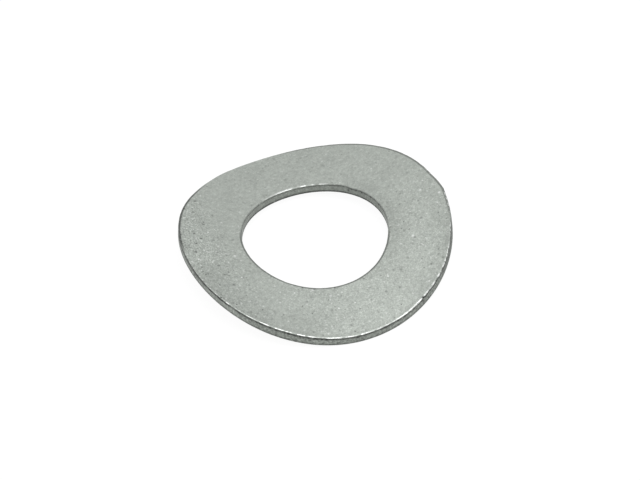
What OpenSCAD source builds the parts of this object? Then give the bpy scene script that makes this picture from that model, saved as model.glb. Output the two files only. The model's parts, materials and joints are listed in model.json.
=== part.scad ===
// Curved spring washer, the kind that a bolt pulls flat. A ring is punched out of spring strip
// and bent once across its middle, so that two opposite ends stand up and it rocks on its
// middle. The ends rise towards -X and +X. The sides at -Y and +Y curl down a little, as the
// sides of a bent strip do. It lies on Z = 0 with the bore's axis on the Z axis.

/* [Blank] */
// Outside diameter of the flat blank
blank_d = 15.2; // [13:0.1:17]
// Diameter of the straight bore, which clears an M8 bolt
bore_d = 8.1; // [7:0.1:10]
// Thickness of the strip with its zinc
sheet_t = 0.58; // [0.4:0.02:0.8]

/* [Bend] */
// Radius to which the middle of the sheet is bent, with the ends up
bend_r = 24; // [16:0.5:40]
// Radius of the slight curl across the bend, with the sides down
curl_r = 54; // [45:1:200]

/* [Punched edges] */
// How far the rim's wall leans with the sheet: 1 is square to it, and 0 stands straight up
rim_lean = 0.5; // [0:0.1:1]
// How far the rim's top lies off its foot towards -X, from a strip that lay askew in the punch
rim_skew = 0.05; // [0:0.01:0.1]
// Roll-over round the top edges, where the punch went in
roll_over = 0.08; // [0.04:0.01:0.14]
// Tumbled break round the bottom edges, where the burr was
burr_break = 0.05; // [0.02:0.01:0.12]

/* [Nib] */
// How far the nib stands out of the rim, where the blank was cut off its strip
nib_h = 0.12; // [0:0.02:0.3]
// Length of the nib along the rim
nib_w = 2.6; // [1.5:0.1:5]
// Place of the nib round the rim, in degrees from the raised end at +X
nib_at = -6; // [-30:1:30]

/* [Smoothness] */
// Faces around the ring
ring_steps = 120; // [60:4:160]
// Faces across each side of the sheet
sheet_steps = 5; // [2:1:8]
// Faces round each rounded edge
edge_steps = 3; // [2:1:4]

/* [Hidden] */

blank_r = blank_d / 2;
bore_r = bore_d / 2;
half_t = sheet_t / 2;
// Stock that the bore's cutter takes off the drawn hole, so that its wall is a true cylinder
cutter_stock = 0.02;
// How far the cutter passes the sheet, below and above
cutter_past = 1;

// Angle in degrees of an arc with this length and radius
function turn(arc, radius) = arc / radius * 180 / PI;

// Place after the bend of a point on the flat blank, at a height up over its middle layer.
// Heights start from the middle layer at the centre, until the washer is lifted on to Z = 0.
function bent(blank_x, blank_y, up) =
    let (
        curl = turn(blank_y, curl_r),
        bend = turn(blank_x, bend_r),
        to_axis = bend_r + curl_r - (curl_r + up) * cos(curl)
    )
    [to_axis * sin(bend), (curl_r + up) * sin(curl), bend_r - to_axis * cos(bend)];

// Point straight over x and y, in the layer at a height up over the sheet's middle layer
function layer_over(x, y, up) =
    let (to_axis = bend_r + curl_r - sqrt((curl_r + up) ^ 2 - y ^ 2))
    [x, y, bend_r - sqrt(to_axis ^ 2 - x ^ 2)];

// Section of a punched edge from bottom to top, as pairs of setback and height in the sheet
edge_section = concat(
    [for (i = [0:edge_steps])
        let (lean = 90 * (1 - i / edge_steps))
        [burr_break * (1 - cos(lean)), -half_t + burr_break * (1 - sin(lean))]],
    [for (i = [0:edge_steps])
        let (lean = 90 * i / edge_steps)
        [roll_over * (1 - cos(lean)), half_t - roll_over * (1 - sin(lean))]]
);
last_of_edge = len(edge_section) - 1;

// How far the rim stands out of its circle at one angle, between -180 and 180
function nib_out(around) =
    let (along = abs(around - nib_at) / turn(nib_w / 2, blank_r))
    nib_h * max(0, 1 - along);

// Point of the rim, whose wall leans with the sheet by the share that rim_lean gives, and
// slants towards -X on its way up
function rim_point(around, edge) =
    let (
        r = blank_r + nib_out(around) - edge[0],
        blank_x = r * cos(around),
        blank_y = r * sin(around),
        middle = bent(blank_x, blank_y, 0),
        square = bent(blank_x, blank_y, edge[1]),
        leaning = middle + rim_lean * (square - middle),
        skew = rim_skew * (edge[1] + half_t) / sheet_t
    )
    layer_over(leaning.x - skew, leaning.y, edge[1]);

// Lift of the washer, which brings the foot of its two low sides on to Z = 0
lift = -rim_point(90, edge_section[0]).z;

// Point of the hole, whose wall stands straight up
function hole_point(around, edge) =
    let (r = bore_r - cutter_stock + edge[0])
    layer_over(r * cos(around), r * sin(around), edge[1]);

// Points of one side of the sheet between two of its edges, both left out
function side_points(from, to, up) = [
    for (i = [1:sheet_steps - 1])
        let (p = from + (to - from) * i / sheet_steps)
        layer_over(p.x, p.y, up)
];

// Section through the ring at one angle: up the rim, in over the top, down the hole, out below
function ring_section(around) =
    let (
        rim = [for (edge = edge_section) rim_point(around, edge)],
        hole = [for (i = [last_of_edge:-1:0]) hole_point(around, edge_section[i])]
    )
    concat(
        rim,
        side_points(rim[last_of_edge], hole[0], half_t),
        hole,
        side_points(hole[last_of_edge], rim[0], -half_t)
    );

// The bent ring, with stock left in its hole
module bent_ring() {
    sections = [for (i = [0:ring_steps - 1]) ring_section(360 * i / ring_steps - 180)];
    in_section = len(sections[0]);
    points = [for (section = sections) for (point = section) point];
    triangles = [
        for (i = [0:ring_steps - 1])
            for (j = [0:in_section - 1])
                let (
                    here = i * in_section,
                    next = (i + 1) % ring_steps * in_section,
                    above = (j + 1) % in_section
                )
                for (triangle = [
                    [here + j, here + above, next + above],
                    [here + j, next + above, next + j]
                ]) triangle
    ];
    polyhedron(points, triangles, convexity = 4);
}

// The straight bore's cutter, which passes right through the sheet
module bore_cutter() {
    low = layer_over(0, bore_r, -half_t).z - cutter_past;
    high = layer_over(bore_r, 0, half_t).z + cutter_past;
    translate([0, 0, low])
        cylinder(h = high - low, d = bore_d, $fn = ring_steps);
}

// The whole washer, in dull zinc
module washer() {
    color([0.70, 0.72, 0.70])
        translate([0, 0, lift])
            difference() {
                bent_ring();
                bore_cutter();
            }
}

washer();
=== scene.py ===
import json
import math

import bpy
import numpy as np
from mathutils import Matrix, Vector

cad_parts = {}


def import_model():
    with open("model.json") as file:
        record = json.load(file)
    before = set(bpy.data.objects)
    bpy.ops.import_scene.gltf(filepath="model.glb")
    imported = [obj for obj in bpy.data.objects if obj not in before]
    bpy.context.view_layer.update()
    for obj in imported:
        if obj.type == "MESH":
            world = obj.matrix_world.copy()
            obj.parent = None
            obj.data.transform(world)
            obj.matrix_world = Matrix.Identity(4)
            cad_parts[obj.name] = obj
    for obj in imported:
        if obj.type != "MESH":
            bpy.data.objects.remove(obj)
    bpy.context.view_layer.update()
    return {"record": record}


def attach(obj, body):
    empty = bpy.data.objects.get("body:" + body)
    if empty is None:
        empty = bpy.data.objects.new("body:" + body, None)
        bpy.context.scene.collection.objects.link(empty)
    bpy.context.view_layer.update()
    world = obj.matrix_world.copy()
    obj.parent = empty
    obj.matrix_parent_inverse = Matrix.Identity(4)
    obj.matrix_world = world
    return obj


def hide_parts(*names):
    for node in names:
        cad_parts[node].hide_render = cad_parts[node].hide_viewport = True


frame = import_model()

# The washer's ends rise at the left, towards -X, and at the right, towards +X. Its front is at -Y.
# Angles round the ring go from -180 to 180 degrees, with 0 at the right end and -90 at the front.

# Driving sizes of the washer, in metres, as in the part's source
MM = 0.001
BORE_R = frame["record"]["mounts"][0]["dims"]["r_mm"] * MM
BLANK_R = 7.6 * MM
SHEET_T = 0.58 * MM
BEND_R = 24 * MM
CURL_R = 54 * MM
RIM_LEAN = 0.5
RIM_SKEW = 0.05 * MM
ROLL_OVER = 0.08 * MM
BURR_BREAK = 0.05 * MM
NIB_H = 0.12 * MM
NIB_W = 2.6 * MM
NIB_AT = math.radians(-6)

HALF_T = SHEET_T / 2

# Mesh density: steps round the ring, and across each stretch of its section
AROUND_STEPS = 900
TOP_STEPS = 56
UNDER_STEPS = 18
BREAK_STEPS = 3
WALL_STEPS = 7
ROLL_STEPS = 6
# How far the rows of a face crowd towards its edges: 0 is even
EDGE_EASE = 0.45

# Waves in the top edges of the rim and the bore: place round the ring and half length in
# degrees, and reach outward
RIM_WAVES = (
    (-164, 9, 0.04 * MM),
    (-126, 14, -0.07 * MM),
    (-61, 9, -0.04 * MM),
    (-18, 6, 0.075 * MM),
    (110, 11, 0.065 * MM),
    (155, 9, -0.025 * MM),
)
BORE_WAVES = (
    (-30, 20, -0.055 * MM),
    (35, 4, -0.05 * MM),
    (46, 5, 0.03 * MM),
)


def bent(x, y, up):
    """Place after the bend of a point on the flat blank, at a height up over its middle layer."""
    curl = y / CURL_R
    bend = x / BEND_R
    to_axis = BEND_R + CURL_R - (CURL_R + up) * np.cos(curl)
    return np.stack([
        to_axis * np.sin(bend),
        (CURL_R + up) * np.sin(curl),
        BEND_R - to_axis * np.cos(bend),
    ], axis=-1)


def layer_over(x, y, up):
    """Point straight over x and y, in the layer at a height up over the middle layer."""
    to_axis = BEND_R + CURL_R - np.sqrt((CURL_R + up) ** 2 - y ** 2)
    return np.stack([x, y, BEND_R - np.sqrt(to_axis ** 2 - x ** 2)], axis=-1)


def nib_out(around):
    """How far the rim stands out of its circle, by the angle round the ring."""
    along = np.abs(around - NIB_AT) / (NIB_W / 2 / BLANK_R)
    return NIB_H * np.maximum(0, 1 - along)


def waves_out(around, waves):
    """How far a top edge waves outward, by the angle round the ring."""
    degrees = np.degrees(around)
    return sum(reach * np.exp(-((degrees - at) / half) ** 2) for at, half, reach in waves)


def rounding(radius, steep):
    """Setback and rise of a rounded edge's section, where it stands as steep as this."""
    lean = math.pi / 2 * (1 - steep)
    return radius * (1 - math.cos(lean)), radius * (1 - math.sin(lean))


def edge_section():
    """A punched edge from bottom to top: its setback, its height over the middle layer, and how
    steep it stands, from 0 on a face to 1 on a wall."""
    rows = []
    for i in range(BREAK_STEPS + 1):
        steep = i / BREAK_STEPS
        setback, rise = rounding(BURR_BREAK, steep)
        rows.append((setback, -HALF_T + rise, steep))
    low, high = -HALF_T + BURR_BREAK, HALF_T - ROLL_OVER
    for i in range(1, WALL_STEPS):
        rows.append((0.0, low + (high - low) * i / WALL_STEPS, 1.0))
    for i in range(ROLL_STEPS + 1):
        steep = 1 - i / ROLL_STEPS
        setback, rise = rounding(ROLL_OVER, steep)
        rows.append((setback, HALF_T - rise, steep))
    return rows


def rim_points(around, setback, up):
    """One line round the rim, whose wall leans with the sheet by the share RIM_LEAN, and
    slants towards -X on its way up."""
    height = (up + HALF_T) / SHEET_T
    r = BLANK_R + nib_out(around) - setback + height * waves_out(around, RIM_WAVES)
    x, y = r * np.cos(around), r * np.sin(around)
    middle = bent(x, y, 0)
    leaning = middle + RIM_LEAN * (bent(x, y, up) - middle)
    return layer_over(leaning[..., 0] - RIM_SKEW * height, leaning[..., 1], up)


def hole_points(around, setback, up):
    """One line round the hole, whose wall stands straight up."""
    height = (up + HALF_T) / SHEET_T
    r = BORE_R + setback + height * waves_out(around, BORE_WAVES)
    return layer_over(r * np.cos(around), r * np.sin(around), up)


# Height of the middle layer's centre over the floor, on which the low sides rest
LIFT = -rim_points(math.pi / 2, BURR_BREAK, -HALF_T)[2]


def side_rows(place, start, end, up, steps):
    """Rows of one side of the sheet between two of its edges, both left out. They lie closer
    together near the edges."""
    rows = []
    for i in range(1, steps):
        even = i / steps
        eased = (1 - math.cos(math.pi * even)) / 2
        p = start + (end - start) * (even + EDGE_EASE * (eased - even))
        rows.append((layer_over(p[:, 0], p[:, 1], up), place, 0.0, up))
    return rows


def ring_rows(around):
    """Rows round the ring's section: up the rim, in over the top, down the hole, out below.
    Each row has its points, the place it is in, how steep it stands and its height in the sheet."""
    section = edge_section()
    rim = [(rim_points(around, back, up), "rim", steep, up) for back, up, steep in section]
    hole = [(hole_points(around, back, up), "hole", steep, up) for back, up, steep in section[::-1]]
    top = side_rows("top", rim[-1][0], hole[0][0], HALF_T, TOP_STEPS)
    under = side_rows("under", hole[-1][0], rim[0][0], -HALF_T, UNDER_STEPS)
    return rim + top + hole + under


def smooth(share):
    """Eases a share from 0 to 1, so that it starts and stops gently."""
    return share * share * (3 - 2 * share)


def ramp(value, low, high):
    """0 below low, 1 above high, and a smooth rise between."""
    return smooth(np.clip((value - low) / (high - low), 0, 1))


def fade(value, full, ends):
    """1 below full, 0 above ends, and a smooth fall between."""
    return 1 - ramp(value, full, ends)


def between(share, low, high):
    """The number that lies this share of the way from low to high."""
    return low + (high - low) * share


def stretch(degrees, begins, full, fades, ends):
    """1 along one stretch of the ring, and 0 past its ends."""
    return ramp(degrees, begins, full) * fade(degrees, fades, ends)


# How the noise's hash is made: a factor for each axis of a cell, a number that keeps the cells'
# coordinates above 0, and the factor and shift of each round that stirs it
CELL_FACTORS = (73856093, 19349663, 83492791)
CELL_OFFSET = 4096
STIR_ROUNDS = ((1274126177, 13), (668265263, 16))
LOW_32_BITS = 0xFFFFFFFF
LOW_24_BITS = 0xFFFFFF


def hashed(cells, seed):
    """A fixed random number from -1 to 1 for each row of whole numbers."""
    h = np.full(len(cells), seed, dtype=np.uint64)
    for axis, factor in enumerate(CELL_FACTORS):
        h ^= (cells[:, axis] + CELL_OFFSET).astype(np.uint64) * np.uint64(factor)
    for factor, shift in STIR_ROUNDS:
        h = ((h ^ (h >> np.uint64(shift))) * np.uint64(factor)) & np.uint64(LOW_32_BITS)
    return (h & np.uint64(LOW_24_BITS)).astype(float) / (LOW_24_BITS // 2) - 1


def noise(points, cell, seed):
    """Smooth noise from -1 to 1 at points, with features of about one cell."""
    scaled = points.reshape(-1, 3) / cell
    base = np.floor(scaled).astype(np.int64)
    part = smooth(scaled - base)
    total = np.zeros(len(scaled))
    for corner in range(8):
        # One step or none along each axis leads to this corner of the cell
        step = np.array([corner & 1, corner >> 1 & 1, corner >> 2 & 1])
        share = np.prod(np.where(step, part, 1 - part), axis=1)
        total += share * hashed(base + step, seed)
    return total.reshape(points.shape[:-1])


# Share of the first of two patterns of noise that lie over each other
FIRST_SHARE = 0.6


def two_noises(points, first, second):
    """Two patterns of noise over each other, from -1 to 1."""
    return noise(points, *first) * FIRST_SHARE + noise(points, *second) * (1 - FIRST_SHARE)


def patches(points, pattern, more=0):
    """Patches from 0 to 1 where a pattern of noise is high, with more of them where more is
    above 0."""
    cell, seed, begins, full = pattern
    return ramp(noise(points, cell, seed) + more, begins, full)


def grid_normals(grid):
    """Outward normals of a grid that closes both ways."""
    along = np.roll(grid, -1, axis=1) - np.roll(grid, 1, axis=1)
    across = np.roll(grid, -1, axis=0) - np.roll(grid, 1, axis=0)
    normals = np.cross(along, across)
    return normals / np.linalg.norm(normals, axis=-1, keepdims=True)


# How steep a point stands where a face fades and ends, and where a wall begins and is full
FACE_ENDS = (0.2, 0.9)
WALL_BEGINS = (0.6, 0.9)


class Ring:
    """The washer's surface as a grid of points that closes both ways, with a row for each line
    round the ring and a column for each angle. Its other arrays have a number for each row, such
    as how steep it stands, or for each column, such as how far it faces the front."""

    def __init__(self):
        self.around = np.arange(AROUND_STEPS) * 2 * math.pi / AROUND_STEPS - math.pi
        points, place, steep, up = zip(*ring_rows(self.around))
        self.grid = np.array(points) + np.array([0, 0, LIFT])
        self.place = np.array(place)[:, None]
        self.steep = np.array(steep)[:, None]
        self.up = np.array(up)[:, None]
        self.degrees = np.degrees(self.around)
        self.to_front = -np.sin(self.around)
        self.on_hole = self.place == "hole"
        self.upper = self.up > 0
        self.face = fade(self.steep, *FACE_ENDS)
        self.wall = ramp(self.steep, *WALL_BEGINS)
        top_rows = np.flatnonzero(self.place[:, 0] == "top")
        self.last_of_rim = top_rows[0] - 1
        self.first_of_hole = top_rows[-1] + 1

    def press_in(self, depth):
        """Moves each point in along its normal."""
        self.grid = self.grid - grid_normals(self.grid) * depth[..., None]

    def away_from(self, row):
        """How far each point lies from the point at its angle in one row."""
        return np.linalg.norm(self.grid - self.grid[row], axis=-1)


# The surface lies at least this far inside the CAD form, so that no grain stands out of it
SKIN = 0.002 * MM
# Greatest depth of each kind of relief
FINE_DEPTH = 0.005 * MM
COARSE_DEPTH = 0.008 * MM
DRAG_DEPTH = 0.007 * MM
SHORT_DENT_DEPTH = 0.020 * MM
LONG_DENT_DEPTH = 0.014 * MM
PIT_DEPTH = 0.022 * MM
NICK_DEPTH = 0.12 * MM
WALL_PIT_DEPTH = 0.05 * MM
# Noise of the zinc's grain, and of the drag marks that the punch leaves up and down the walls:
# size of the features, and seed
FINE_CELL = 0.13 * MM
DRAG_CELL = 0.11 * MM
FINE_GRAIN = (FINE_CELL, 1)
FINEST_GRAIN = (FINE_CELL / 2, 2)
COARSE_GRAIN = (0.9 * MM, 3)
NARROW_DRAG = (DRAG_CELL, 4)
WIDE_DRAG = (DRAG_CELL * 3, 6)
# How the drag marks' noise sees X, Y and Z, so that it is drawn out upward
DRAG_SCALE = (1, 1, 0.12)
# Dents in the upper half of the edges: size of the features, seed, and levels of the noise at
# which a dent begins and is full
SHORT_DENTS = (0.24 * MM, 7, -0.1, 0.8)
LONG_DENTS = (0.9 * MM, 8, -0.5, 0.8)
# How steep an edge stands where its dents begin and are full, how far it has to face the front
# for the same, and the share of their depth at the back
DENTS_BEGIN = (0.0, 0.3)
DENTS_FACE_FRONT = (0.0, 0.5)
DENTS_AT_BACK = 0.3
# Pits in each face: count, least and largest radius, and the seed of each face
PIT_COUNT = 260
PIT_R = (0.035 * MM, 0.075 * MM)
TOP_PITS_SEED = 5
UNDER_PITS_SEED = 9
# A pit's share of the greatest depth is the square of a number between these
PIT_ROOTS = (0.4, 1)
# The small cut in the rim at the front right: its place round the ring and half width
NICK_AT = math.radians(-63.4)
NICK_HALF = 0.07 * MM
# Small pits in the bore's wall at the back: place round the ring in degrees and height over the
# middle layer, and their radius
WALL_PITS = ((39, 0.01 * MM), (26.5, 0.15 * MM))
WALL_PIT_R = 0.055 * MM


def pit_field(grid, seed):
    """How deep each point lies in a pit, from 0 to 1. The pits are strewn evenly over the ring."""
    random = np.random.default_rng(seed)
    r = np.sqrt(random.uniform(BORE_R ** 2, BLANK_R ** 2, PIT_COUNT))
    turn = random.uniform(0, 2 * math.pi, PIT_COUNT)
    size = random.uniform(*PIT_R, PIT_COUNT)
    depth = random.uniform(*PIT_ROOTS, PIT_COUNT) ** 2
    field = np.zeros(grid.shape[:-1])
    for x, y, half, deep in zip(r * np.cos(turn), r * np.sin(turn), size, depth):
        away = ((grid[..., 0] - x) ** 2 + (grid[..., 1] - y) ** 2) / half ** 2
        field = np.maximum(field, deep * np.exp(-away))
    return field


def face_pits(ring):
    """How deep each point of the two faces lies in a pit, from 0 to 1."""
    top = np.where(ring.place == "top", pit_field(ring.grid, TOP_PITS_SEED), 0)
    under = np.where(ring.place == "under", pit_field(ring.grid, UNDER_PITS_SEED), 0)
    return top + under


def wall_pits(ring):
    """How deep each point of the bore's wall lies in one of its pits, from 0 to 1."""
    field = 0
    for at, height in WALL_PITS:
        along = (ring.around - math.radians(at)) * BORE_R
        away = (along ** 2 + (ring.up - height) ** 2) / WALL_PIT_R ** 2
        field = np.maximum(field, np.exp(-away))
    return ring.on_hole * field


def rim_nick(ring):
    """How deep each point lies in the small cut in the rim's top edge, from 0 to 1."""
    along = (ring.around - NICK_AT) * BLANK_R / NICK_HALF
    return (ring.place == "rim") * ring.upper * np.exp(-along ** 2)


def edge_dents(ring):
    """Depth of the dents in the upper half of the edges, deepest where they face the front."""
    dents = SHORT_DENT_DEPTH * patches(ring.grid, SHORT_DENTS)
    dents = dents + LONG_DENT_DEPTH * patches(ring.grid, LONG_DENTS)
    faces_front = ring.to_front * np.where(ring.on_hole, -1, 1)
    share = ring.upper * ramp(ring.steep, *DENTS_BEGIN)
    return share * between(ramp(faces_front, *DENTS_FACE_FRONT), DENTS_AT_BACK, 1) * dents


def relief(ring, pits, nick, holes):
    """How deep each point lies inside the CAD form."""
    fine = two_noises(ring.grid, FINE_GRAIN, FINEST_GRAIN)
    coarse = noise(ring.grid, *COARSE_GRAIN)
    grain = FINE_DEPTH * (1 + fine) + COARSE_DEPTH * (1 + coarse)
    drag = two_noises(ring.grid * np.array(DRAG_SCALE), NARROW_DRAG, WIDE_DRAG)
    depth = SKIN + ring.face * grain / 2
    depth = depth + ring.wall * DRAG_DEPTH * (1 + drag) / 2 + edge_dents(ring)
    return depth + PIT_DEPTH * pits + NICK_DEPTH * nick + WALL_PIT_DEPTH * holes


# How coarse the faces are at the back, and how much more at the front and at the left end
COARSE_BACK, COARSE_FRONT, COARSE_LEFT = 0.45, 0.30, 1.0
# Places towards the front and the left between which the faces get coarser, and the share that
# the left end loses at its front
COARSER_TO_FRONT = (-3 * MM, 3 * MM)
COARSER_TO_LEFT = (4 * MM, 6.5 * MM)
LEFT_LOSS = 0.6
# Places towards the left between which the front gets smoother, and the share that it loses
FRONT_SMOOTHER_TO_LEFT = (2 * MM, 4.5 * MM)
FRONT_LOSS = 0.7


def coarseness(grid):
    """How coarse the faces are: 0 is smooth."""
    front = ramp(-grid[..., 1], *COARSER_TO_FRONT)
    left = ramp(-grid[..., 0], *COARSER_TO_LEFT)
    front_left = ramp(-grid[..., 0], *FRONT_SMOOTHER_TO_LEFT)
    at_front = COARSE_FRONT * front * (1 - FRONT_LOSS * front_left)
    at_left = COARSE_LEFT * left * (1 - LEFT_LOSS * front)
    return COARSE_BACK + at_front + at_left


# Patches along the edges: size of the features, seed, and levels of the noise at which a patch
# begins and is full
HIGHLIGHT_PATCHES_SHORT = (0.15 * MM, 11, -0.6, 0.1)
HIGHLIGHT_PATCHES_LONG = (0.7 * MM, 12, -0.9, 0.0)
DARK_PATCHES = (0.16 * MM, 14, -0.9, 0.2)
BEADS = (0.2 * MM, 15, 0.1, 0.3)
DASHES = (0.25 * MM, 17, -0.2, 0.1)
SPOTS = (0.13 * MM, 18, 0.15, 0.4)
BREAKS = (0.12 * MM, 19, 0.1, 0.3)

# The marks' stretches are in degrees round the ring: where each begins, is full, fades and ends.
# The stretch where the rim's painted highlight is wide, and the one along which it has beads
WIDE_HIGHLIGHT = (-80, -65, -43, -31)
RIM_BEADS = (-168, -161, 4, 12)
# The dashes of painted highlight on the bore
BORE_HIGHLIGHT = (50, 72, 90, 118)
# Angles in degrees between which the rim's line is thin and gets whole, its breaks set in, and
# the beads get denser
THIN_LINE_ENDS = (-115, -88)
BREAKS_BEGIN = (-66, -58)
DENSE_BEADS_BEGIN = (-24, -16)
# What is taken from the noise where the line is thin, and added to it where beads are denser
THIN_LESS = 0.3
DENSE_BEADS_MORE = 0.15
# How far an edge has to face the front for its line to begin and be full
LINE_FACES_FRONT = (0.50, 0.70)
# How steep the top edge stands where the bright lines begin on the face's side, and where they
# end on the wall's side
TOP_LINE_BEGINS = (0.02, 0.15)
RIM_LINE_ENDS = (0.44, 0.58)
BORE_LINE_ENDS = (0.30, 0.45)
# What moves the end of the rim's line: its waver's size, seed and depth, and how much steeper
# the edge gets before the wide stretch ends, or less steep before the thin one does
LINE_WAVER, LINE_WAVER_DEPTH = (0.4 * MM, 16), 0.16
WIDER, NARROWER = 0.28, 0.1
# How far on to the face the bore's line fades and ends, and how far its edge reaches there
BORE_LINE_WIDTH = (0.03 * MM, 0.07 * MM)
BORE_EDGE = 0.1 * MM


def rim_painted_highlight(ring):
    """The painted highlight on the rim's top edge. It is patchy at the front, wide at the front
    right, with breaks from there on, and goes on as beads towards both ends."""
    thin = fade(ring.degrees, *THIN_LINE_ENDS)
    wide = stretch(ring.degrees, *WIDE_HIGHLIGHT)
    lit_patches = patches(ring.grid, HIGHLIGHT_PATCHES_SHORT, -THIN_LESS * thin) * patches(ring.grid, HIGHLIGHT_PATCHES_LONG)
    denser = DENSE_BEADS_MORE * ramp(ring.degrees, *DENSE_BEADS_BEGIN)
    beads = stretch(ring.degrees, *RIM_BEADS) * patches(ring.grid, BEADS, denser)
    line = np.maximum(ramp(ring.to_front, *LINE_FACES_FRONT) * lit_patches, beads)
    breaks = patches(ring.grid, BREAKS) * ramp(ring.degrees, *BREAKS_BEGIN)
    line = np.maximum(line, wide) * (1 - breaks)
    waver = LINE_WAVER_DEPTH * noise(ring.grid, *LINE_WAVER)
    across = ring.steep + waver - WIDER * wide + NARROWER * thin
    return line * ramp(ring.steep, *TOP_LINE_BEGINS) * fade(across, *RIM_LINE_ENDS)


def bore_painted_highlight(ring):
    """The dashes of painted highlight on the bore's top edge, at the back."""
    dashes = stretch(ring.degrees, *BORE_HIGHLIGHT) * patches(ring.grid, DASHES)
    dashes = dashes * fade(ring.steep, *BORE_LINE_ENDS)
    return dashes * fade(ring.away_from(ring.first_of_hole), *BORE_LINE_WIDTH)


def painted_highlight_marks(ring):
    """Where a highlight is painted on the top edges, from 0 to 1, most of all where they face the
    front.
    """
    at_hole = ring.on_hole | (ring.away_from(ring.first_of_hole) < BORE_EDGE)
    return ring.upper * np.where(at_hole, bore_painted_highlight(ring), rim_painted_highlight(ring))


# The right of the rim's wall and of the bore's: where painted shade makes them darker, and by how
# much
RIM_RIGHT, RIM_RIGHT_DARK = (-60, -40, -22, 10), 0.55
BORE_RIGHT, BORE_RIGHT_DARK = (-10, 10, 60, 85), 0.12
# The painted shade line below a top edge: how steep the edge stands where it begins, how far down
# it reaches at the bore, at the rim and how much farther at the left end, and how far it fades
DARK_LINE_BEGINS = (0.3, 0.6)
BORE_LINE_REACH = 0.10 * MM
RIM_LINE_REACH = 0.12 * MM
LEFT_LINE_MORE = 0.06 * MM
DARK_LINE_FADE = 0.06 * MM
# Waver of its lower side: size and seed, and depth
DARK_WAVER, DARK_WAVER_DEPTH = (0.3 * MM, 13), 0.012 * MM
# How dark it is outside and inside its patches, and how much more at the right of the bore
RIM_LINE_DARK = (0.7, 1.0)
BORE_LINE_DARK = (0.3, 0.7)
BORE_LINE_RIGHT = 0.1
# Where the left end begins and is full, in degrees either way from the right end
LEFT_END = (148, 168)
# The painted shadow along the foot of a wall: its height, how steep the edge stands where it
# begins, and how dark it is at the rim, and at the bore outside and inside its patches
FOOT_LINE = (0.12 * MM, 0.20 * MM)
FOOT_BEGINS = (0.1, 0.4)
RIM_FOOT_DARK = 0.6
BORE_FOOT_DARK = (0.75, 1.0)
# How steep the bore's top edge stands where its painted shade ends, and how dark it is between
# the dashes of painted highlight and in them
GAPS_END = (0.45, 0.70)
GAPS_DARK = (0.5, 0.25)


def dark_lines(ring):
    """Painted shade along each wall: a dark line below its top edge, and a painted shadow along its
    foot.
    """
    patchy = patches(ring.grid, DARK_PATCHES)
    left_end = ramp(np.abs(ring.degrees), *LEFT_END)
    reach = np.where(ring.on_hole, BORE_LINE_REACH, RIM_LINE_REACH + LEFT_LINE_MORE * left_end)
    below = HALF_T - ring.up + DARK_WAVER_DEPTH * noise(ring.grid, *DARK_WAVER)
    line = ramp(ring.steep, *DARK_LINE_BEGINS) * fade(below, reach, reach + DARK_LINE_FADE)
    bore_right = BORE_LINE_RIGHT * stretch(ring.degrees, *BORE_RIGHT)
    bore_dark = between(patchy, *BORE_LINE_DARK) + bore_right
    line = line * np.where(ring.on_hole, bore_dark, between(patchy, *RIM_LINE_DARK))
    foot = fade(ring.up + HALF_T, *FOOT_LINE) * ramp(ring.steep, *FOOT_BEGINS)
    foot = foot * np.where(ring.on_hole, between(patchy, *BORE_FOOT_DARK), RIM_FOOT_DARK)
    return np.maximum(line, foot)


def dash_gaps(ring):
    """Painted shade on the bore's top edge, darkest between its dashes of painted highlight."""
    edge = ring.on_hole * ring.upper * ramp(ring.steep, *TOP_LINE_BEGINS)
    return edge * fade(ring.steep, *GAPS_END) * between(patches(ring.grid, DASHES), *GAPS_DARK)


# Bands of painted shade on the top face: how dark, the stretch of the ring, and how far from the
# edge they fade and end. Beside the rim at the back left, back right, front left and front right
BACK_LEFT_BAND = (1.0, (118, 132, 168, 178), (0.03 * MM, 0.08 * MM))
BACK_RIGHT_BAND = (0.7, (-30, -14, 70, 88), (0.03 * MM, 0.08 * MM))
FRONT_LEFT_BAND = (0.13, (-180, -172, -118, -96), (0.5 * MM, 2.4 * MM))
FRONT_RIGHT_BAND = (0.11, (-78, -70, -26, -14), (0.35 * MM, 1.2 * MM))
# Beside the bore at the right
BORE_RIGHT_BAND = (0.15, (-70, -35, 25, 45), (0.3 * MM, 0.9 * MM))
# Thin band of painted shade beside the rim: how dark, how far the rim has to face the front for it
# to begin and be full, and how far from the rim it fades and ends
RIM_FRONT_DARK = 0.10
RIM_FRONT_BEGINS = (0.2, 0.5)
RIM_FRONT_WIDTH = (0.12 * MM, 0.28 * MM)
# Thin band of painted shade beside the bore: how dark, the stretch at the back that it leaves out,
# and how far from the bore it fades and ends
BORE_FRONT_DARK = 0.8
BORE_BACK = (-30, -18, 150, 165)
BORE_FRONT_WIDTH = (0.02 * MM, 0.08 * MM)
# A point that stands less steep than this counts as on the face
ON_FACE = 0.5


def band(ring, away, dark, along, width):
    """A band of painted shade on the top face along one stretch of an edge."""
    return dark * stretch(ring.degrees, *along) * fade(away, *width)


def shaded_face(ring):
    """The bands of painted shade on the top face beside the rim and beside the bore."""
    away = ring.away_from(ring.last_of_rim)
    rim_back = np.maximum(band(ring, away, *BACK_LEFT_BAND), band(ring, away, *BACK_RIGHT_BAND))
    thin = RIM_FRONT_DARK * ramp(ring.to_front, *RIM_FRONT_BEGINS) * fade(away, *RIM_FRONT_WIDTH)
    rim_front = thin + band(ring, away, *FRONT_LEFT_BAND) + band(ring, away, *FRONT_RIGHT_BAND)
    away = ring.away_from(ring.first_of_hole)
    thin = BORE_FRONT_DARK * (1 - stretch(ring.degrees, *BORE_BACK)) * fade(away, *BORE_FRONT_WIDTH)
    bore = np.maximum(thin, band(ring, away, *BORE_RIGHT_BAND))
    shade = np.maximum(np.maximum(rim_back, rim_front), bore)
    return ring.upper * (ring.steep < ON_FACE) * shade


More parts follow.
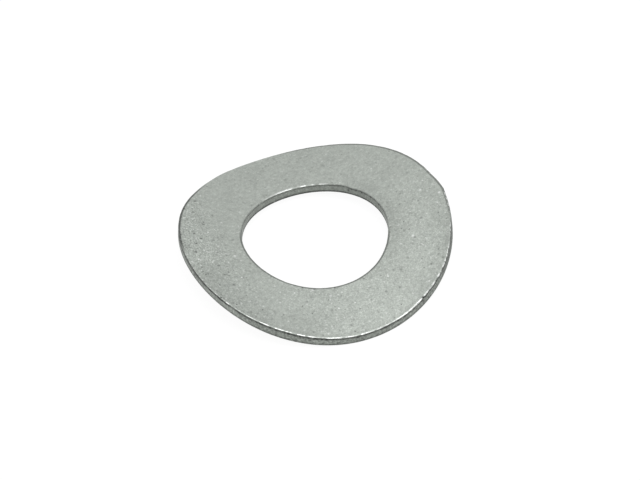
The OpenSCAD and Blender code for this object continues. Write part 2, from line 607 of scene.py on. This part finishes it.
def dull_marks(ring):
    """Where shade is painted on the walls, their edges and the face beside them, from 0 to 1."""
    rim_wall = RIM_RIGHT_DARK * stretch(ring.degrees, *RIM_RIGHT)
    bore_wall = BORE_RIGHT_DARK * stretch(ring.degrees, *BORE_RIGHT)
    walls = ring.wall * np.where(ring.on_hole, bore_wall, rim_wall)
    edges = np.maximum(dark_lines(ring), dash_gaps(ring))
    return np.maximum(np.maximum(edges, walls), shaded_face(ring))


# Where there are spots of painted shade along the rim and the bore, and where on the rim they are
# denser
RIM_SPOTS = (-179, -173, -32, -20)
BORE_SPOTS = (-20, -5, 42, 54)
DENSE_SPOTS_LEFT = (-179, -174, -162, -150)
DENSE_SPOTS_RIGHT = (-68, -60, -34, -24)
DENSE_SPOTS_MORE = 0.3
# How steep the edge stands where the spots begin, how far below the top they fade and end, and
# how dark they are
SPOTS_BEGIN = (0.5, 0.8)
SPOTS_REACH = (0.16 * MM, 0.22 * MM)
RIM_SPOTS_DARK = 0.8
BORE_SPOTS_DARK = 0.6


def spot_marks(ring):
    """Dark spots that deepen the painted shade along the line below the top edges, from 0 to 1."""
    dense = stretch(ring.degrees, *DENSE_SPOTS_LEFT) + stretch(ring.degrees, *DENSE_SPOTS_RIGHT)
    spots = patches(ring.grid, SPOTS, DENSE_SPOTS_MORE * dense)
    rim = RIM_SPOTS_DARK * stretch(ring.degrees, *RIM_SPOTS)
    bore = BORE_SPOTS_DARK * stretch(ring.degrees, *BORE_SPOTS)
    in_line = ramp(ring.steep, *SPOTS_BEGIN) * fade(HALF_T - ring.up, *SPOTS_REACH)
    return ring.upper * in_line * spots * np.where(ring.on_hole, bore, rim)


# How torn the bore's wall is, where the rim's is 1
BORE_TORN = 0.45
# Where painted light makes the rim's wall paler, and by what share it takes less of the wall's
# colour there
LIT_LEFT_WALL = (-174, -160, -146, -134)
LEFT_WALL_LIGHT = 0.25
# How dark the cut in the rim and the pits in the bore's wall are
NICK_DARK = 0.7
WALL_PITS_DARK = 0.8


def surface_marks(ring, pits, nick, holes):
    """What the material reads at each point: how much it is wall, with painted light at the left
    end, how coarse and torn, where a highlight and shade are painted, and its pits and spots of
    painted shade."""
    # Where a highlight is painted on the top edges
    painted_highlight = painted_highlight_marks(ring)
    coarse = coarseness(ring.grid)
    spots = spot_marks(ring) * (1 - painted_highlight)
    # Painted light: the rim's wall at the left end takes less of the walls' darker colour
    lit_left = np.where(ring.place == "rim", stretch(ring.degrees, *LIT_LEFT_WALL), 0)
    return {
        "wall": ring.wall * (1 - LEFT_WALL_LIGHT * lit_left),
        "coarse": coarse,
        "torn": ring.wall * np.where(ring.on_hole, BORE_TORN, 1),
        "painted_highlight": painted_highlight,
        # Painted shade, left off where the highlight is painted
        "dull": dull_marks(ring) * (1 - painted_highlight),
        "pits_and_shade_spots": np.clip(pits * coarse + NICK_DARK * nick + WALL_PITS_DARK * holes + spots, 0, 1),
    }


def grid_mesh(name, grid):
    """A closed mesh of quads from a grid that closes both ways."""
    index = np.arange(grid.shape[0] * grid.shape[1]).reshape(grid.shape[:2])
    beside = np.roll(index, -1, axis=1)
    above = np.roll(index, -1, axis=0)
    over = np.roll(beside, -1, axis=0)
    quads = np.stack([index, beside, over, above], axis=-1).reshape(-1, 4)
    mesh = bpy.data.meshes.new(name)
    mesh.vertices.add(index.size)
    mesh.vertices.foreach_set("co", grid.reshape(-1).astype(np.float32))
    mesh.loops.add(quads.size)
    mesh.loops.foreach_set("vertex_index", quads.reshape(-1).astype(np.int32))
    mesh.polygons.add(len(quads))
    mesh.polygons.foreach_set("loop_start", np.arange(0, quads.size, 4, dtype=np.int32))
    mesh.polygons.foreach_set("loop_total", np.full(len(quads), 4, dtype=np.int32))
    mesh.update(calc_edges=True)
    mesh.validate()
    mesh.shade_smooth()
    return mesh


def add_marks(mesh, name, values):
    """Keeps one number for each point of the mesh, which the material reads."""
    marks = mesh.attributes.new(name, "FLOAT", "POINT")
    marks.data.foreach_set("value", np.ascontiguousarray(values, dtype=np.float32).reshape(-1))


def add_object(name, data):
    """Puts a mesh, camera or lamp into the scene as an object."""
    made = bpy.data.objects.new(name, data)
    bpy.context.scene.collection.objects.link(made)
    return made


def washer_piece():
    """The bent ring with its grain, pits, drag marks and dents in the mesh."""
    ring = Ring()
    pits, nick, holes = face_pits(ring), rim_nick(ring), wall_pits(ring)
    ring.press_in(relief(ring, pits, nick, holes))
    mesh = grid_mesh("bent_washer", ring.grid)
    for name, values in surface_marks(ring, pits, nick, holes).items():
        add_marks(mesh, name, np.broadcast_to(values, ring.grid.shape[:-1]))
    return add_object("bent_washer", mesh)


# A dot is full out to this share of its radius
DOT_CORE = 0.3
# A cell has a random number, and these are the levels at which its dot begins and is full
DOT_CHANCE = (0.45, 0.75)


class Nodes:
    """Short ways to build nodes. A mix node has its share in input 0. It takes numbers in inputs
    2 and 3 and gives output 0, or takes colours in inputs 6 and 7 and gives output 2."""

    def __init__(self, tree):
        self.tree = tree

    def add(self, kind, inputs=None, **settings):
        """A new node with its inputs fed and its settings made."""
        made = self.tree.nodes.new(kind)
        for name, value in settings.items():
            setattr(made, name, value)
        for name, value in (inputs or {}).items():
            self.feed(made.inputs[name], value)
        return made

    def feed(self, socket, value):
        """Links a socket to another node's output, or sets its value."""
        if isinstance(value, bpy.types.NodeSocket):
            self.tree.links.new(value, socket)
        else:
            socket.default_value = value

    def compute(self, operation, a, b):
        """Works out a number from two others."""
        return self.add("ShaderNodeMath", {0: a, 1: b}, operation=operation).outputs[0]

    def scaled(self, value, low, high, to_low, to_high):
        """Maps a value from one range to another and stops at its ends."""
        made = self.add("ShaderNodeMapRange", {"Value": value, "From Min": low, "From Max": high})
        self.feed(made.inputs["To Min"], to_low)
        self.feed(made.inputs["To Max"], to_high)
        return made.outputs["Result"]

    def blend(self, share, a, b):
        """Mixes two numbers."""
        return self.add("ShaderNodeMix", {0: share, 2: a, 3: b}).outputs[0]

    def mix(self, share, a, b):
        """Mixes two colours."""
        made = self.add("ShaderNodeMix", data_type="RGBA")
        self.feed(made.inputs[0], share)
        self.feed(made.inputs[6], a)
        self.feed(made.inputs[7], b)
        return made.outputs[2]

    def shade(self, colour, value):
        """Multiplies a colour by a number."""
        made = self.add("ShaderNodeVectorMath", {0: colour}, operation="SCALE")
        self.feed(made.inputs["Scale"], value)
        return made.outputs[0]

    def darken(self, colour, value, left):
        """Darkens a colour, down to the share that is left of it where the value is 1."""
        return self.shade(colour, self.scaled(value, 0, 1, 1, left))

    def marks(self, name):
        """Reads the numbers that add_marks keeps."""
        return self.add("ShaderNodeAttribute", attribute_name=name).outputs["Fac"]

    def noise(self, where, scale, detail, rough):
        """Noise from 0 to 1."""
        inputs = {"Vector": where, "Scale": scale, "Detail": detail, "Roughness": rough}
        return self.add("ShaderNodeTexNoise", inputs).outputs["Fac"]

    def swing(self, value, low, high, depth, share=1.0):
        """A factor that swings by depth round 1, as value goes from low to high."""
        swing = self.scaled(value, low, high, -depth, depth)
        return self.compute("ADD", self.compute("MULTIPLY", swing, share), 1.0)

    def dots(self, where, scale, size):
        """Small round dots of uneven strength, in some cells of a scatter. They go from 0 outside
        to at most 1 in their middle."""
        cells = self.add("ShaderNodeTexVoronoi", {"Vector": where, "Scale": scale}).outputs
        near = self.scaled(cells["Distance"], DOT_CORE * size, size, 1, 0)
        chance = self.scaled(cells["Color"], *DOT_CHANCE, 0, 1)
        return self.compute("MULTIPLY", near, chance)


# Colours of the zinc on the faces, of the walls darkened with painted shade, of the painted
# highlight on the edges and of the painted glints, and how metallic it is
FACE_COLOUR = (0.500, 0.535, 0.495)
SHADED_WALL_COLOUR = (0.304, 0.329, 0.299)
HIGHLIGHT_COLOUR = (0.92, 0.94, 0.92, 1)
GLINT_COLOUR = (0.95, 0.97, 0.95, 1)
METALLIC = 0.6
# Share of the colour that is left under full painted shade, in a pit or a spot of painted shade, or
# in a dark dot
SHADE_LEFT = 0.28
PIT_LEFT = 0.22
DOT_LEFT = 0.15
# Noise in the zinc: features for each millimetre, detail, and roughness of the detail
GRAIN = (13, 2, 0.6)
BLOTCHES = (4.5, 2, 0.5)
CLOUDS = (0.8, 3, 0.5)
FLECKS = (8, 1, 0.5)
DRAG_MARKS = (9, 3, 0.6)
MOTTLE = (8, 2, 0.6)
BUMPS = (15, 3, 0.6)
# How noise makes the colour lighter and darker: its levels at the two ends, and how far it goes
GRAIN_SWING = (0.25, 0.75, 0.36)
BLOTCH_SWING = (0.3, 0.7, 0.09)
CLOUD_SWING = (0.3, 0.7, 0.04)
DRAG_SWING = (0.3, 0.7, 0.12)
MOTTLE_SWING = (0.25, 0.75, 0.65)
# Dark dots and painted glints as specks: cells for each millimetre, and radius as a share of a cell
DARK_DOTS = (3.2, 0.20)
SMALL_GLINTS = (2.2, 0.17)
BIG_GLINTS = (1.1, 0.12)
# Levels of the noise at which the painted glint flecks begin and are full, and how strong they are
FLECK_LEVELS = (0.61, 0.76)
FLECK_STRENGTH = 0.55
# Levels of the grain at which the zinc is smoothest and roughest, its roughness there, and the
# roughness where the highlight is painted on the edges
GRAIN_LEVELS = (0.3, 0.7)
ROUGHNESS = (0.46, 0.60)
HIGHLIGHT_ROUGHNESS = 0.28
# Strength and depth of the bumps that the material adds to the mesh's grain
BUMP_STRENGTH = 0.6
BUMP_DEPTH = 0.004 * MM


def face_nodes(nodes, where, grain, coarse):
    """Colour of the faces: grain with blotches, clouds and dark dots, and painted glints as specks
    and flecks.
    """
    blotches = nodes.noise(where, *BLOTCHES)
    clouds = nodes.noise(where, *CLOUDS)
    colour = nodes.shade(FACE_COLOUR, nodes.swing(grain, *GRAIN_SWING, coarse))
    colour = nodes.shade(colour, nodes.swing(blotches, *BLOTCH_SWING))
    colour = nodes.shade(colour, nodes.swing(clouds, *CLOUD_SWING))
    dark_dots = nodes.compute("MULTIPLY", nodes.dots(where, *DARK_DOTS), coarse)
    colour = nodes.darken(colour, dark_dots, DOT_LEFT)
    flecks = nodes.scaled(nodes.noise(where, *FLECKS), *FLECK_LEVELS, 0, FLECK_STRENGTH)
    small = nodes.dots(where, *SMALL_GLINTS)
    big = nodes.dots(where, *BIG_GLINTS)
    # The bright specks and flecks are painted glints
    glints = nodes.compute("MAXIMUM", nodes.compute("MAXIMUM", small, big), flecks)
    return nodes.mix(nodes.compute("MULTIPLY", glints, coarse), colour, GLINT_COLOUR)


def wall_nodes(nodes, where):
    """Colour of the walls: a tone darkened with painted shade, upright drag marks, and mottle where
    they are torn.
    """
    drawn_out = {0: where, 1: DRAG_SCALE}
    upright = nodes.add("ShaderNodeVectorMath", drawn_out, operation="MULTIPLY").outputs[0]
    drag = nodes.noise(upright, *DRAG_MARKS)
    mottle = nodes.noise(where, *MOTTLE)
    colour = nodes.shade(SHADED_WALL_COLOUR, nodes.swing(drag, *DRAG_SWING))
    return nodes.shade(colour, nodes.swing(mottle, *MOTTLE_SWING, nodes.marks("torn")))


def zinc():
    """Plated zinc: grained faces, dragged walls darkened with painted shade, and a painted
    highlight on the edges.
    """
    material = bpy.data.materials.new("dull_zinc")
    material.use_nodes = True
    nodes = Nodes(material.node_tree)
    where = nodes.shade(nodes.add("ShaderNodeTexCoord").outputs["Object"], 1 / MM)
    painted_highlight = nodes.marks("painted_highlight")
    grain = nodes.noise(where, *GRAIN)

    face = face_nodes(nodes, where, grain, nodes.marks("coarse"))
    # The walls take a darker colour: painted shade, with their own drag marks and mottle
    colour = nodes.mix(nodes.marks("wall"), face, wall_nodes(nodes, where))
    # Darkens the pits, the cut, the bore wall's pits and the spots of painted shade
    colour = nodes.darken(colour, nodes.marks("pits_and_shade_spots"), PIT_LEFT)
    # Paints the shade on the walls, their edges and the face beside them
    colour = nodes.darken(colour, nodes.marks("dull"), SHADE_LEFT)
    # Paints the highlight on the top edges, which are also made smoother below
    colour = nodes.mix(painted_highlight, colour, HIGHLIGHT_COLOUR)

    rough = nodes.scaled(grain, *GRAIN_LEVELS, *ROUGHNESS)
    rough = nodes.blend(painted_highlight, rough, HIGHLIGHT_ROUGHNESS)
    height = nodes.noise(where, *BUMPS)
    bump_inputs = {"Strength": BUMP_STRENGTH, "Distance": BUMP_DEPTH, "Height": height}
    bump = nodes.add("ShaderNodeBump", bump_inputs)

    shader = material.node_tree.nodes["Principled BSDF"]
    shader.inputs["Metallic"].default_value = METALLIC
    nodes.feed(shader.inputs["Base Color"], colour)
    nodes.feed(shader.inputs["Roughness"], rough)
    nodes.feed(shader.inputs["Normal"], bump.outputs["Normal"])
    return material


# Camera, as fitted to the outline in the photograph: angles in degrees, distance from the
# washer's middle, focal length in pixels, the pixel at which that middle lies, and the
# photograph's width and height in pixels
VIEW_TURN = 21.97
VIEW_RISE = 44.21
VIEW_ROLL = 2.51
VIEW_DISTANCE = 110.53 * MM
FOCAL_PIXELS = 1998.4
CENTRE_PIXEL = (315.03, 237.07)
IMAGE_W, IMAGE_H = 640, 480
# A pixel's own middle lies this far into it
HALF_PIXEL = 0.5
# Width of the sensor, in millimetres
SENSOR_W = 36.0
# Nearest and farthest that the camera sees, in metres
CLIP_START, CLIP_END = 1 * MM, 10


def direction(turn, rise):
    """Unit vector from the washer. Turn is in degrees from the camera's side, to the right."""
    azimuth = math.radians(VIEW_TURN) - math.radians(turn)
    height = math.radians(rise)
    flat = math.cos(height)
    return Vector((-math.sin(azimuth) * flat, -math.cos(azimuth) * flat, math.sin(height)))


def camera():
    """The photograph's camera. A small shift puts the washer's middle at its pixel."""
    turn = math.radians(VIEW_TURN)
    roll = math.radians(VIEW_ROLL)
    toward = direction(0, VIEW_RISE)
    level = Vector((math.cos(turn), -math.sin(turn), 0))
    upright = toward.cross(level)
    right = math.cos(roll) * level - math.sin(roll) * upright
    up = math.sin(roll) * level + math.cos(roll) * upright
    data = bpy.data.cameras.new("camera")
    data.sensor_fit = "HORIZONTAL"
    data.sensor_width = SENSOR_W
    data.lens = FOCAL_PIXELS * SENSOR_W / IMAGE_W
    data.shift_x = (IMAGE_W / 2 - CENTRE_PIXEL[0] - HALF_PIXEL) / IMAGE_W
    data.shift_y = (CENTRE_PIXEL[1] + HALF_PIXEL - IMAGE_H / 2) / IMAGE_W
    data.clip_start = CLIP_START
    data.clip_end = CLIP_END
    ob = add_object("camera", data)
    axes = Matrix((right, up, toward)).transposed().to_4x4()
    ob.matrix_world = Matrix.Translation(Vector((0, 0, LIFT)) + toward * VIEW_DISTANCE) @ axes
    bpy.context.scene.camera = ob


# The floor: half its width, its own colour, and the glow that makes it white to some rays
FLOOR_HALF = 1000 * MM
FLOOR_COLOUR = (0.12, 0.12, 0.12, 1)
FLOOR_GLOW = 0.92
# The surroundings are brightest on the camera's side, at this rise in degrees, and darkest
# where the cosine of the angle to there is this or less
BRIGHT_RISE = 20
DARK_COSINE = -0.3
WORLD_DARK = 0.53
WORLD_BRIGHT = 0.82
WHITE = (1, 1, 1, 1)


def white_rays(nodes):
    """1 for the rays that see the background as white: from the camera, glossy or through glass."""
    rays = nodes.add("ShaderNodeLightPath").outputs
    seen = nodes.compute("MAXIMUM", rays["Is Camera Ray"], rays["Is Glossy Ray"])
    return nodes.compute("MAXIMUM", seen, rays["Is Transmission Ray"])


def floor():
    """The pale floor. It shows white, and keeps the washer's shadow."""
    data = bpy.data.meshes.new("floor")
    half = FLOOR_HALF
    corners = [(-half, -half, 0), (half, -half, 0), (half, half, 0), (-half, half, 0)]
    data.from_pydata(corners, [], [(0, 1, 2, 3)])
    ob = add_object("floor", data)
    material = bpy.data.materials.new("floor")
    material.use_nodes = True
    material.node_tree.nodes.clear()
    nodes = Nodes(material.node_tree)
    shade = nodes.add("ShaderNodeBsdfDiffuse", {"Color": FLOOR_COLOUR}).outputs[0]
    strength = nodes.compute("MULTIPLY", white_rays(nodes), FLOOR_GLOW)
    glow = nodes.add("ShaderNodeEmission", {"Strength": strength}).outputs[0]
    both = nodes.add("ShaderNodeAddShader", {0: shade, 1: glow}).outputs[0]
    nodes.add("ShaderNodeOutputMaterial", {"Surface": both})
    data.materials.append(material)


def world():
    """Soft light from all round, a little brighter from the camera's side."""
    made = bpy.data.worlds.new("world")
    bpy.context.scene.world = made
    made.use_nodes = True
    made.node_tree.nodes.clear()
    nodes = Nodes(made.node_tree)
    out = nodes.add("ShaderNodeTexCoord").outputs["Generated"]
    both = {0: out, 1: direction(0, BRIGHT_RISE)}
    cosine = nodes.add("ShaderNodeVectorMath", both, operation="DOT_PRODUCT").outputs["Value"]
    strength = nodes.scaled(cosine, DARK_COSINE, 1, WORLD_DARK, WORLD_BRIGHT)
    light = nodes.add("ShaderNodeBackground", {"Color": WHITE, "Strength": strength}).outputs[0]
    nodes.add("ShaderNodeOutputWorld", {"Surface": light})


def softbox(name, turn, rise, distance, size, power):
    """A square lamp that faces the washer."""
    toward = direction(turn, rise)
    data = bpy.data.lights.new(name, "AREA")
    data.shape = "SQUARE"
    data.size = size
    data.energy = power
    ob = add_object(name, data)
    facing = toward.to_track_quat("Z", "Y").to_matrix().to_4x4()
    ob.matrix_world = Matrix.Translation(toward * distance) @ facing


washer = washer_piece()
washer.data.materials.append(zinc())
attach(washer, "root")
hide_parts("washer")

camera()
floor()
world()
softbox("key", turn=35, rise=75, distance=150 * MM, size=130 * MM, power=0.108)

bpy.context.scene.view_settings.view_transform = "Standard"
